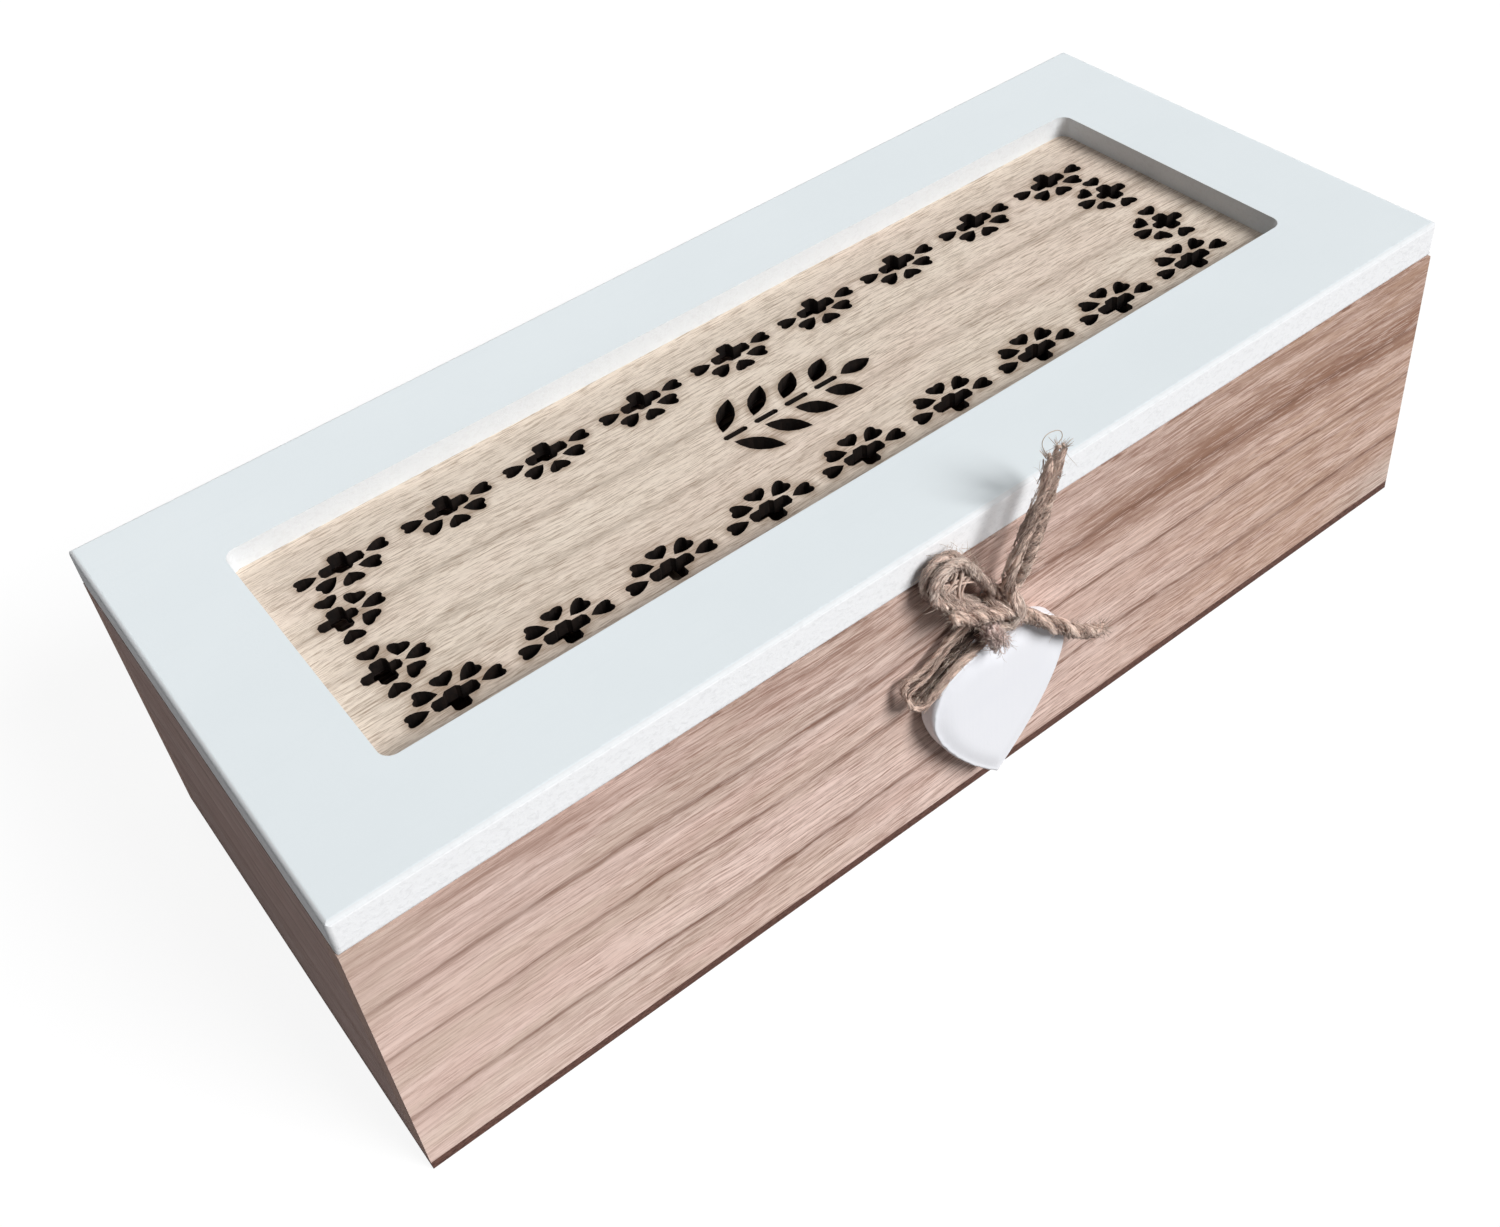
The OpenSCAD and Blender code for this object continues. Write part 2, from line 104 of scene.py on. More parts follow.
STEP = 0.22  # between the rings of a strand


# ---------------------------------------------------------------- lines
def unit(v):
    return v / max(float(np.linalg.norm(v)), 1e-9)


def distances(line):
    return np.concatenate([[0], np.cumsum(np.linalg.norm(np.diff(line, axis=0), axis=1))])


def shares(line):
    """How far along a line each of its points lies, from 0 to 1."""
    return distances(line) / distances(line)[-1]


def smooth_line(points, step):
    """A Catmull-Rom curve through the points, resampled at even steps."""
    p = np.array(points, float)
    p = np.vstack([2 * p[0] - p[1], p, 2 * p[-1] - p[-2]])
    t = np.linspace(0, 1, 24, endpoint=False)[:, None]
    fine = []
    for a, b, c, d in zip(p, p[1:], p[2:], p[3:]):
        fine.append(0.5 * (2 * b + (c - a) * t + (2 * a - 5 * b + 4 * c - d) * t**2
                           + (3 * b - a - 3 * c + d) * t**3))
    fine = np.vstack([*fine, p[-2][None]])
    along = distances(fine)
    even = np.linspace(0, along[-1], max(3, int(math.ceil(along[-1] / step)) + 1))
    return np.stack([np.interp(even, along, fine[:, k]) for k in range(3)], axis=1)


def curve(*offsets):
    """A smooth line through points given from the middle of the knot."""
    return smooth_line(KNOT + np.array(offsets), STEP)


def frames_along(line):
    """Headings and two cross directions along a line, carried on without twist."""
    heading = np.gradient(line, axis=0)
    heading /= np.maximum(np.linalg.norm(heading, axis=1), 1e-9)[:, None]
    first = np.cross([0, 1, 0], heading[0])
    if np.linalg.norm(first) < 0.1:
        first = np.cross([1, 0, 0], heading[0])
    normals = [unit(first)]
    for h in heading[1:]:
        n = normals[-1] - h * float(normals[-1] @ h)
        normals.append(unit(n))
    normals = np.array(normals)
    return heading, normals, np.cross(heading, normals)


def wobble(rng, n, smoothness):
    """Smooth random numbers of about unit size."""
    knots = max(4, int(n / smoothness) + 3)
    values = rng.normal(size=knots)
    return np.interp(np.linspace(0, knots - 1, n), np.arange(knots), values)


def ply_lines(line, offset, pitch, phase):
    """The lines of the two plies that wind round a twine's own line. offset may vary along it."""
    _, a, b = frames_along(line)
    angle = phase + TAU * distances(line) / pitch
    offset = np.broadcast_to(offset, (len(line),))
    for turn in (angle, angle + math.pi):
        yield line + offset[:, None] * (np.cos(turn)[:, None] * a + np.sin(turn)[:, None] * b)


# ---------------------------------------------------------------- strands and fibres
class Shape:
    """A mesh made of capped tubes, in millimetres, with UV along and round each tube."""

    def __init__(self):
        self.verts, self.faces, self.uvs, self.count = [], [], [], 0

    def tube(self, line, radius, sides):
        line, radius = np.asarray(line, float), np.asarray(radius, float)
        n = len(line)
        radius = np.broadcast_to(radius.reshape(-1, 1) if radius.ndim == 1 else radius, (n, sides))
        _, a, b = frames_along(line)
        angle = np.arange(sides) * TAU / sides
        ring = np.cos(angle)[None, :, None] * a[:, None] + np.sin(angle)[None, :, None] * b[:, None]
        points = line[:, None] + ring * radius[..., None]
        s = distances(line)
        base = self.count
        self.verts += [points.reshape(-1, 3), np.array([line[0], line[-1]])]
        start, end = base + n * sides, base + n * sides + 1
        for i in range(n - 1):
            for k in range(sides):
                k2 = (k + 1) % sides
                row, above = base + i * sides, base + (i + 1) * sides
                self.faces.append((row + k, row + k2, above + k2, above + k))
                self.uvs.append(((s[i], k / sides), (s[i], (k + 1) / sides),
                                 (s[i + 1], (k + 1) / sides), (s[i + 1], k / sides)))
        last = base + (n - 1) * sides
        for k in range(sides):
            k2 = (k + 1) % sides
            self.faces.append((start, base + k2, base + k))
            self.uvs.append(((s[0], 0.5), (s[0], (k + 1) / sides), (s[0], k / sides)))
            self.faces.append((end, last + k, last + k2))
            self.uvs.append(((s[-1], 0.5), (s[-1], k / sides), (s[-1], (k + 1) / sides)))
        self.count += n * sides + 2

    def build(self, name, material):
        corners = np.array([corner for face in self.uvs for uv in face for corner in uv], np.float32)
        made = new_piece(name, np.vstack(self.verts), self.faces, material)
        made.data.uv_layers.new(name="along").data.foreach_set("uv", corners)
        return made


def new_piece(name, verts, faces, material):
    """An object with a smooth mesh, from corners in millimetres."""
    mesh = bpy.data.meshes.new(name)
    mesh.from_pydata((verts * MM).tolist(), [], faces)
    mesh.shade_smooth()
    mesh.materials.append(material)
    made = bpy.data.objects.new(name, mesh)
    scene.collection.objects.link(made)
    return made


def strand(shape, line, radius, rng, sides=14, lobes=4, twist=2.6, depth=0.12):
    """One ply: a bundle of fibres, with ridges that wind along it."""
    s = distances(line)[:, None]
    k = np.arange(sides)[None, :] * TAU / sides
    phase = rng.uniform(0, 6.28, 3)
    ridges = (depth * np.cos(lobes * k + TAU * s / twist + phase[0])
              + 0.5 * depth * np.cos((lobes + 3) * k - TAU * s / (1.7 * twist) + phase[1]))
    lumps = 0.07 * wobble(rng, len(line), 7)[:, None]
    shape.tube(line, np.reshape(radius, (-1, 1)) * (1 + ridges + lumps), sides)


def twisted(shape, line, offset, pitch, phase, radius, rng, *ridges):
    """Two plies that wind round a line. ridges are the last values that strand takes."""
    for ply in ply_lines(line, offset, pitch, phase):
        strand(shape, ply, radius, rng, *ridges)


def loose(shape, line, spread, count, thick, rng, taper):
    """Untwisted strands that wander side by side along a line. spread varies along it."""
    _, a, b = frames_along(line)
    n = len(line)
    for k in range(count):
        turn = TAU * (k + 0.4 * rng.random()) / count + 0.5 * wobble(rng, n, 22)
        out = spread * math.sqrt((k % 3 + 0.6) / 2.8) * (1 + 0.18 * wobble(rng, n, 18))
        one = line + out[:, None] * (np.cos(turn)[:, None] * a + np.sin(turn)[:, None] * b)
        one = smooth_line(one[::6], STEP)
        radius = thick * rng.uniform(0.8, 1.2) * np.linspace(1, taper, len(one))
        strand(shape, one, radius, rng, 10, 4, 2.4, 0.12)


def hair(shape, start, heading, outward, length, rng, thick, curl=0.5):
    """A loose fibre: it leaves the twine at a low angle and curls."""
    t = np.linspace(0, 1, 8)[:, None]
    side = unit(np.cross(heading, outward))
    lift, sway = rng.uniform(0.1, 0.6), rng.uniform(-curl, curl)
    bend = rng.uniform(0.3, 1.2) * curl
    line = (start + heading * length * t * (1 - 0.25 * t)
            + outward * length * (lift * t + bend * np.sin(2.6 * t) * t * 0.5)
            + side * length * sway * t**2)
    shape.tube(line, thick * (1 - 0.6 * t[:, 0]), 3)


def cling(shape, line, radius, count, rng, pitch, thick=0.07, longest=9.0, lift=0.35):
    """Fibres that lie on a twine and wind along it, with ends that stand off a little."""
    _, a, b = frames_along(line)
    s = distances(line)
    for _ in range(count):
        long = min(rng.uniform(2.5, longest), 0.9 * s[-1])
        start = rng.uniform(0, s[-1] - long)
        n = max(6, int(long / 0.7))
        places = np.linspace(start, start + long, n)
        spot = np.stack([np.interp(places, s, line[:, k]) for k in range(3)], 1)
        i = np.clip(np.searchsorted(s, places), 0, len(s) - 1)
        turn = rng.uniform(0, 6.28) + TAU * (places - start) / (pitch * rng.uniform(0.7, 2.2))
        turn += 0.25 * wobble(rng, n, 3)
        t = np.linspace(0, 1, n)
        out = radius * rng.uniform(0.93, 1.06) + lift * rng.random() * np.abs(2 * t - 1) ** 3
        spot = spot + out[:, None] * (np.cos(turn)[:, None] * a[i] + np.sin(turn)[:, None] * b[i])
        shape.tube(smooth_line(spot, 0.4), thick * rng.uniform(0.6, 1.4), 4)


def fuzz(shape, line, radius, count, rng, shortest=0.8, longest=3.0, thick=0.05):
    """Loose fibres all along a twine."""
    heading, a, b = frames_along(line)
    for _ in range(count):
        i = int(rng.integers(1, len(line) - 1))
        turn = rng.uniform(0, TAU)
        outward = math.cos(turn) * a[i] + math.sin(turn) * b[i]
        ahead = heading[i] * (1 if rng.random() < 0.6 else -1)
        side = np.cross(ahead, outward)
        ahead = unit(ahead + side * rng.uniform(-0.5, 0.5))
        hair(shape, line[i] + outward * radius * 0.85, ahead, outward,
             rng.uniform(shortest, longest), rng, thick * rng.uniform(0.7, 1.3))


def brush(shape, line, radius, count, length, rng, spread=0.5, thick=0.07):
    """The frayed end of a twine."""
    heading = unit(line[-1] - line[-4])
    side = unit(np.cross(heading, [0.3, 1, 0.2]))
    up = np.cross(heading, side)
    for _ in range(count):
        turn, out = rng.uniform(0, TAU), math.sqrt(rng.random())
        outward = math.cos(turn) * side + math.sin(turn) * up
        ahead = unit(heading + outward * spread * out * rng.uniform(0.3, 1.2))
        start = line[-1] + outward * radius * out - heading * length * 0.35
        hair(shape, start, ahead, outward, length * rng.uniform(0.7, 1.3), rng,
             thick * rng.uniform(0.6, 1.4), 0.25)


# ---------------------------------------------------------------- material helpers
def node(tree, kind, inputs=None, out=0, **props):
    made = tree.nodes.new("ShaderNode" + kind)
    for name, value in props.items():
        setattr(made, name, value)
    for key, value in (inputs or {}).items():
        socket = made.inputs[key]
        if isinstance(value, bpy.types.NodeSocket):
            tree.links.new(value, socket)
        else:
            socket.default_value = value
    return made.outputs[out]


def calc(tree, operation, a, b=0.0, clamp=False):
    return node(tree, "Math", {0: a, 1: b}, operation=operation, use_clamp=clamp)


def times(tree, product, *factors):
    for factor in factors:
        product = calc(tree, "MULTIPLY", product, factor)
    return product


def fade(tree, value, low, high, to_low=0.0, to_high=1.0):
    """value from low to high, eased to a number from to_low to to_high."""
    return node(tree, "MapRange", {0: value, 1: low, 2: high, 3: to_low, 4: to_high},
                interpolation_type="SMOOTHSTEP")


def mix(tree, share, a, b):
    return node(tree, "Mix", {0: share, 6: a, 7: b}, out=2, data_type="RGBA", blend_type="MIX")


def ramp(tree, value, stops):
    made = tree.nodes.new("ShaderNodeValToRGB")
    tree.links.new(value, made.inputs[0])
    ends = made.color_ramp.elements
    while len(ends) < len(stops):
        ends.new(0.5)
    for end, (place, level) in zip(ends, stops):
        end.position = place
        end.color = (level, level, level, 1)
    return made.outputs[0]


def noise(tree, vector, scale, seed=0.0, detail=4.0, rough=0.55, distort=0.0):
    """Noise over vector, in millimetres, with its own scale on each axis."""
    placed = node(tree, "Mapping", {"Vector": vector, "Location": (seed, seed * 1.7, seed * 0.6),
                                    "Scale": scale})
    return node(tree, "TexNoise", {"Vector": placed, "Scale": 1.0, "Detail": detail,
                                   "Roughness": rough, "Distortion": distort})


def millimetres(tree):
    """The place on the piece, in millimetres, at rest."""
    place = node(tree, "TexCoord", out="Object")
    return node(tree, "VectorMath", {0: place, "Scale": 1000.0}, operation="SCALE")


def part_of(tree, vector, axis):
    return node(tree, "SeparateXYZ", {0: vector}, out=axis)


def facing(tree, axis):
    """How squarely the surface faces along an axis of the piece, from 0 to 1."""
    return calc(tree, "ABSOLUTE", part_of(tree, node(tree, "TexCoord", out="Normal"), axis))


def bump(tree, surface, height, strength, distance):
    made = node(tree, "Bump", {"Height": height, "Strength": strength, "Distance": distance})
    tree.links.new(made, surface.inputs["Normal"])


def rgb(r, g, b):
    return (r, g, b, 1.0)


def cleared(owner):
    """The empty node tree of a material or world."""
    owner.use_nodes = True
    owner.node_tree.nodes.clear()
    return owner.node_tree


def give_output(tree, kind, shader):
    output = tree.nodes.new("ShaderNodeOutput" + kind)
    tree.links.new(shader, output.inputs[0])


def new_material(name, roughness, specular):
    made = bpy.data.materials.new(name)
    tree = cleared(made)
    surface = tree.nodes.new("ShaderNodeBsdfPrincipled")
    give_output(tree, "Material", surface.outputs[0])
    surface.inputs["Roughness"].default_value = roughness
    surface.inputs["Specular IOR Level"].default_value = specular
    return made, tree, surface


# ---------------------------------------------------------------- wood
def wander(tree, across, grain, seed):
    """The place across the grain, bent slowly and a little, as growth lines run."""
    slow = noise(tree, grain, (0.012, 0.012, 0.02), seed, 1.5)
    quick = noise(tree, grain, (0.09, 0.12, 0.1), seed + 3, 3.0)
    bent = calc(tree, "ADD", across, times(tree, calc(tree, "SUBTRACT", slow, 0.5), 7.0))
    return calc(tree, "ADD", bent, calc(tree, "SUBTRACT", quick, 0.5))


def front_tones(tree, colour, grain, along, up, bent, seed):
    """Beige patches on the left, brown under the rim and at the right end, and a broad brown band."""
    blotch = noise(tree, grain, (0.05, 0.35, 0.4), seed + 31, 4.0, 0.6)
    ragged = fade(tree, blotch, 0.32, 0.62, 0.55, 1.0)
    cloud = noise(tree, grain, (0.03, 0.10, 0.1), seed + 50, 3.0)
    beige = times(tree, fade(tree, along, 10.0, -50.0), fade(tree, cloud, 0.42, 0.62))
    rim = times(tree, fade(tree, bent, 51.0, 58.0), fade(tree, blotch, 0.40, 0.58))
    end = times(tree, fade(tree, along, 5.0, 95.0), ragged)
    band = times(tree, fade(tree, along, 0.0, 42.0), fade(tree, bent, 39.0, 44.0),
                 fade(tree, bent, 55.0, 49.5), ragged)
    corner = times(tree, fade(tree, along, 92.0, 118.0), fade(tree, up, 16.0, 4.0))
    for area, strength, tone in (
        (beige, 0.40, rgb(0.66, 0.535, 0.430)),
        (rim, 0.30, rgb(0.34, 0.20, 0.145)),
        (end, 0.68, rgb(0.47, 0.290, 0.185)),
        (band, 0.92, rgb(0.315, 0.175, 0.115)),
        (corner, 0.65, rgb(0.76, 0.67, 0.60)),
    ):
        colour = mix(tree, times(tree, area, strength), colour, tone)
    return colour


def end_grain(tree, colour, place, axis, seed):
    """Much darker where the wood is cut across the grain, which runs along axis."""
    cut = fade(tree, facing(tree, axis), 0.5, 0.8)
    holes = fade(tree, noise(tree, place, (1.3, 1.5, 3.6), seed + 44, 5.0, 0.75), 0.30, 0.70)
    return mix(tree, cut, colour, mix(tree, holes, rgb(0.36, 0.215, 0.165), rgb(0.19, 0.105, 0.080)))


def wood(name, axes, growth, seed, tones, contrast=1.0, is_front=False, streaks=1.0, fine=1.0,
         specular=0.22):
    """Planed light wood. axes names the grain's direction, then the direction across it.

    growth is where the first and last growth line lie, and how dark the wood is between them.
    tones are the light, the middle and the dark colour."""
    light, middle, dark = tones
    made, tree, surface = new_material(name, 0.72, specular)
    place = millimetres(tree)
    u, v, w = (part_of(tree, place, axis) for axis in axes)
    grain = node(tree, "CombineXYZ", {0: u, 1: v, 2: w})

    # Growth lines run along the grain and fade here and there.
    bent = wander(tree, v, grain, seed)
    line = node(tree, "MapRange", {0: bent, 1: growth[0], 2: growth[1]})
    broken = fade(tree, noise(tree, grain, (0.10, 0.8, 0.5), seed + 35, 4.0), 0.34, 0.60, 0.65, 1.0)
    lines = times(tree, ramp(tree, line, growth[2]), broken)
    clear = 1.0
    if is_front:
        # The left end is smooth, and its lines are faint.
        clear = fade(tree, u, -118.0, -40.0, 0.48, 1.0)
        lines = times(tree, lines, fade(tree, u, -118.0, -60.0, 0.72, 1.0))

    wavy = node(tree, "CombineXYZ", {0: u, 1: bent, 2: w})
    fibre = noise(tree, wavy, (0.045, 1.1, 0.8), seed + 5, 5.0, 0.66)
    pores = noise(tree, wavy, (0.10 * fine, 1.9 * fine, 1.2), seed + 9, 3.0, 0.62)
    hairs = noise(tree, wavy, (0.17 * fine, 3.1 * fine, 2.0), seed + 12, 2.0, 0.6)
    flecks = noise(tree, wavy, (0.13 * fine, 2.3 * fine, 1.5), seed + 14, 3.0, 0.6)
    long_lines = noise(tree, wavy, (0.008, 0.85, 0.3), seed + 17, 2.0, 0.5)
    mottle = noise(tree, place, (0.75, 0.75, 0.75), seed + 23, 3.0, 0.6)
    patch = noise(tree, grain, (0.014, 0.12, 0.1), seed + 20, 3.0)
    tint = noise(tree, grain, (0.02, 0.05, 0.05), seed + 26, 2.0)

    # Broad tones first.
    colour = mix(tree, fade(tree, patch, 0.35, 0.68, 0.0, streaks), light, middle)
    colour = mix(tree, fade(tree, mottle, 0.38, 0.64, 0.0, 0.34), colour, middle)
    colour = mix(tree, fade(tree, tint, 0.4, 0.65, 0.0, 0.14), colour, rgb(0.74, 0.47, 0.42))
    if is_front:
        colour = front_tones(tree, colour, grain, u, v, bent, seed)

    # Then the fine marks over them, which clear makes fainter.
    def marked(colour, strength, tone):
        return mix(tree, times(tree, strength, clear), colour, tone)

    dash = fade(tree, pores, 0.53, 0.62)
    deep = rgb(*(0.72 * c for c in dark[:3]))
    pale = rgb(*(min(0.97, 1.10 * c) for c in light[:3]))
    colour = marked(colour, fade(tree, fibre, 0.40, 0.62, 0.0, 0.26 * contrast * streaks), dark)
    colour = marked(colour, fade(tree, long_lines, 0.57, 0.63, 0.0, 0.30 * contrast * streaks), dark)
    colour = mix(tree, calc(tree, "MULTIPLY", lines, 1.15 * contrast, clamp=True), colour, deep)
    colour = marked(colour, times(tree, dash, 0.56 * contrast), dark)
    colour = marked(colour, fade(tree, hairs, 0.53, 0.61, 0.0, 0.46 * contrast), dark)
    colour = marked(colour, fade(tree, flecks, 0.53, 0.60, 0.0, min(0.62 * contrast, 0.8)),
                    mix(tree, 0.5, pale, colour))
    colour = end_grain(tree, colour, place, axes[0], seed)
    tree.links.new(colour, surface.inputs["Base Color"])
    height = calc(tree, "SUBTRACT", times(tree, fibre, 0.6), times(tree, dash, 0.4))
    bump(tree, surface, height, 0.45, 0.00014)
    return made


PINK_DARK = rgb(0.25, 0.125, 0.085)
PINK = (rgb(0.89, 0.70, 0.625), rgb(0.76, 0.565, 0.490), PINK_DARK)
# SHADED_PINK is painted shade: a darker copy of the pink wood tones, for the left wall, which stands in
# shade.
SHADED_PINK = (rgb(0.80, 0.615, 0.565), rgb(0.68, 0.490, 0.445), PINK_DARK)
PLY = (rgb(0.70, 0.58, 0.45), rgb(0.62, 0.49, 0.36), rgb(0.40, 0.27, 0.17))
PANEL_PLY = (rgb(0.88, 0.770, 0.655), rgb(0.78, 0.665, 0.555), rgb(0.29, 0.195, 0.130))

# Growth lines: the first and last millimetre across the grain, then stops from 0 to 1 between these
# two, each with how dark the line is there.
FRONT_LINES = (0.0, 64.0, [
    (0.0, 0.20), (0.05, 0.08), (0.15, 0.03), (0.236, 0.22), (0.250, 0.80), (0.256, 0.86), (0.261, 0.24),
    (0.285, 0.04), (0.37, 0.02), (0.495, 0.16), (0.507, 0.74), (0.512, 0.80), (0.517, 0.18),
    (0.545, 0.03), (0.64, 0.05), (0.695, 0.22), (0.712, 0.80), (0.717, 0.80), (0.728, 0.24),
    (0.80, 0.10), (0.84, 0.38), (0.85, 0.10), (0.93, 0.32), (0.94, 0.12), (1.0, 0.2)])
SIDE_LINES = (-8.0, 70.0, [
    (0.0, 0.1), (0.12, 0.30), (0.135, 0.62), (0.145, 0.10), (0.30, 0.12), (0.385, 0.45), (0.395, 0.72),
    (0.405, 0.10), (0.55, 0.25), (0.565, 0.60), (0.575, 0.12), (0.75, 0.30), (0.768, 0.70),
    (0.78, 0.1), (0.92, 0.35), (1.0, 0.15)])
PANEL_LINES = (-40.0, 40.0, [
    (0.0, 0.1), (0.10, 0.05), (0.20, 0.20), (0.21, 0.05), (0.31, 0.20), (0.325, 0.25), (0.335, 0.05),
    (0.40, 0.12), (0.415, 0.38), (0.43, 0.12), (0.45, 0.04), (0.545, 0.06), (0.565, 0.45),
    (0.575, 0.15), (0.60, 0.05), (0.74, 0.06), (0.76, 0.22), (0.77, 0.05), (0.88, 0.15), (1.0, 0.1)])

front_wood = wood("front_wood", "XZY", FRONT_LINES, 2.0, PINK, is_front=True, fine=1.15)
back_wood = wood("back_wood", "XZY", SIDE_LINES, 13.0, PINK)
# The left wall is painted shade: the same wood, with darker tones, fainter marks and less gloss, as a
# shaded copy of the other walls.
left_wood = wood("left_wood", "YZX", SIDE_LINES, 27.0, SHADED_PINK, 0.6, specular=0.04)
right_wood = wood("right_wood", "YZX", SIDE_LINES, 41.0, PINK)
divider_ply = wood("divider_ply", "YZX", SIDE_LINES, 55.0, PLY, 0.7)


def hardboard():
    """Base panel: reddish-brown hardboard, with a fibrous rough edge."""
    made, tree, surface = new_material("hardboard", 0.8, 0.2)
    place = millimetres(tree)
    flake = noise(tree, place, (0.9, 0.9, 2.5), 4.0, 5.0, 0.65)
    cloud = noise(tree, place, (0.05, 0.05, 0.2), 9.0, 3.0)
    colour = mix(tree, fade(tree, flake, 0.3, 0.7), rgb(0.055, 0.026, 0.020), rgb(0.16, 0.080, 0.062))
    colour = mix(tree, fade(tree, cloud, 0.35, 0.65, 0.0, 0.4), colour, rgb(0.11, 0.055, 0.042))
    tree.links.new(colour, surface.inputs["Base Color"])
    bump(tree, surface, flake, 0.5, 0.0002)
    return made


def panel_wood():
    """Fretwork panel: pale plywood with a fine grain, and edges browned by the laser."""
    made = wood("panel_ply", "XYZ", PANEL_LINES, 71.0, PANEL_PLY, streaks=0.16, fine=1.7)
    tree = made.node_tree
    surface = next(n for n in tree.nodes if n.type == "BSDF_PRINCIPLED")
    plain = surface.inputs["Base Color"].links[0].from_socket
    near = node(tree, "AmbientOcclusion", {"Distance": 0.0016}, out="AO", samples=6, inside=True,
                only_local=True)
    place = millimetres(tree)
    uneven = noise(tree, place, (0.22, 0.22, 0.2), 8.0, 3.0)
    halo = times(tree, fade(tree, near, 1.0, 0.62), fade(tree, uneven, 0.35, 0.65, 0.35, 1.0), 0.6)
    colour = mix(tree, halo, plain, rgb(0.24, 0.15, 0.085))
    upright = fade(tree, facing(tree, "Z"), 0.8, 0.4)
    char = mix(tree, fade(tree, noise(tree, place, (1.2, 1.2, 0.5), 2.0), 0.3, 0.7),
               rgb(0.004, 0.0025, 0.002), rgb(0.012, 0.007, 0.005))
    colour = mix(tree, upright, colour, char)
    tree.links.new(colour, surface.inputs["Base Color"])
    return made


# ---------------------------------------------------------------- paint
LID_HALF_LENGTH, LID_HALF_WIDTH = 120.0, 50.0


def edges_with_painted_shade(tree, colour, place, flat):
    """The lid's sawn edges, with painted shade: greyer in the window than outside, and a soft grey line
    of painted shade where they round.
    """
    reach = calc(tree, "MAXIMUM",
                 calc(tree, "DIVIDE", calc(tree, "ABSOLUTE", part_of(tree, place, "X")), LID_HALF_LENGTH),
                 calc(tree, "DIVIDE", calc(tree, "ABSOLUTE", part_of(tree, place, "Y")), LID_HALF_WIDTH))
    # Painted shade: the upright faces in the window are greyer than the ones outside.
    sawn = mix(tree, fade(tree, reach, 0.88, 0.94), rgb(0.690, 0.715, 0.735), rgb(0.905, 0.912, 0.925))
    colour = mix(tree, fade(tree, flat, 0.60, 0.30), colour, sawn)
    # Painted shade: a soft grey line where the edges round.
    rounded_painted_shade = times(tree, fade(tree, flat, 0.995, 0.90), fade(tree, flat, 0.20, 0.45), 0.9)
    return mix(tree, rounded_painted_shade, colour, rgb(0.74, 0.755, 0.765))


def paint(name, light, shade, brush_scale, face_axis, roughness, sawn):
    """White paint: faint clouds and brush marks on the faces, a rough sanded grain at the edges, and
    painted shade on the lid's edges when sawn is true.
    """
    made, tree, surface = new_material(name, roughness, 0.25)
    place = millimetres(tree)
    flat = facing(tree, face_axis)
    edge = fade(tree, flat, 0.97, 0.55)
    cloud = noise(tree, place, (0.03, 0.03, 0.05), 5.0, 3.0)
    strokes = noise(tree, place, brush_scale, 11.0, 3.0, 0.6)
    grit = noise(tree, place, (0.75, 0.9, 1.3), 17.0, 5.0, 0.7, 0.6)
    fine = noise(tree, place, (2.4, 2.4, 2.4), 23.0, 3.0, 0.6)
    colour = mix(tree, fade(tree, cloud, 0.3, 0.7, 0.0, 0.55), light, shade)
    colour = mix(tree, fade(tree, strokes, 0.55, 0.75, 0.0, 0.28), colour, shade)
    # The lid's edges get painted shade: greyer faces in the window, and a grey line where they round.
    if sawn:
        colour = edges_with_painted_shade(tree, colour, place, flat)
    worn = times(tree, edge, fade(tree, grit, 0.50, 0.62), 0.20)
    colour = mix(tree, worn, colour, rgb(0.55, 0.55, 0.56))
    tree.links.new(colour, surface.inputs["Base Color"])
    height = calc(tree, "ADD", times(tree, grit, edge, 0.8),
                  calc(tree, "ADD", times(tree, fine, 0.12), times(tree, strokes, 0.18)))
    bump(tree, surface, height, 0.6, 0.00022)
    return made


lid_paint = paint("lid_paint", rgb(0.815, 0.870, 0.893), rgb(0.785, 0.842, 0.866),
                  (0.05, 0.9, 0.9), "Z", 0.62, True)
heart_paint = paint("heart_paint", rgb(0.875, 0.88, 0.915), rgb(0.83, 0.84, 0.885),
                    (0.9, 0.9, 0.07), "Y", 0.55, False)


# ---------------------------------------------------------------- metal
def metal(name, light, dark, smoothest, roughest):
    made, tree, surface = new_material(name, smoothest, 0.5)
    surface.inputs["Metallic"].default_value = 1.0
    place = millimetres(tree)
    cloud = noise(tree, place, (0.5, 0.5, 0.5), 3.0, 4.0, 0.6)
    scratch = noise(tree, place, (0.4, 4.0, 4.0), 7.0, 3.0)
    tree.links.new(mix(tree, fade(tree, cloud, 0.35, 0.7), light, dark), surface.inputs["Base Color"])
    tree.links.new(fade(tree, cloud, 0.3, 0.7, smoothest, roughest), surface.inputs["Roughness"])
    bump(tree, surface, scratch, 0.15, 0.00005)
    return made


brass = metal("hinge_brass", rgb(0.80, 0.60, 0.28), rgb(0.62, 0.43, 0.18), 0.25, 0.42)
steel = metal("zinc_steel", rgb(0.66, 0.66, 0.65), rgb(0.50, 0.50, 0.50), 0.28, 0.46)


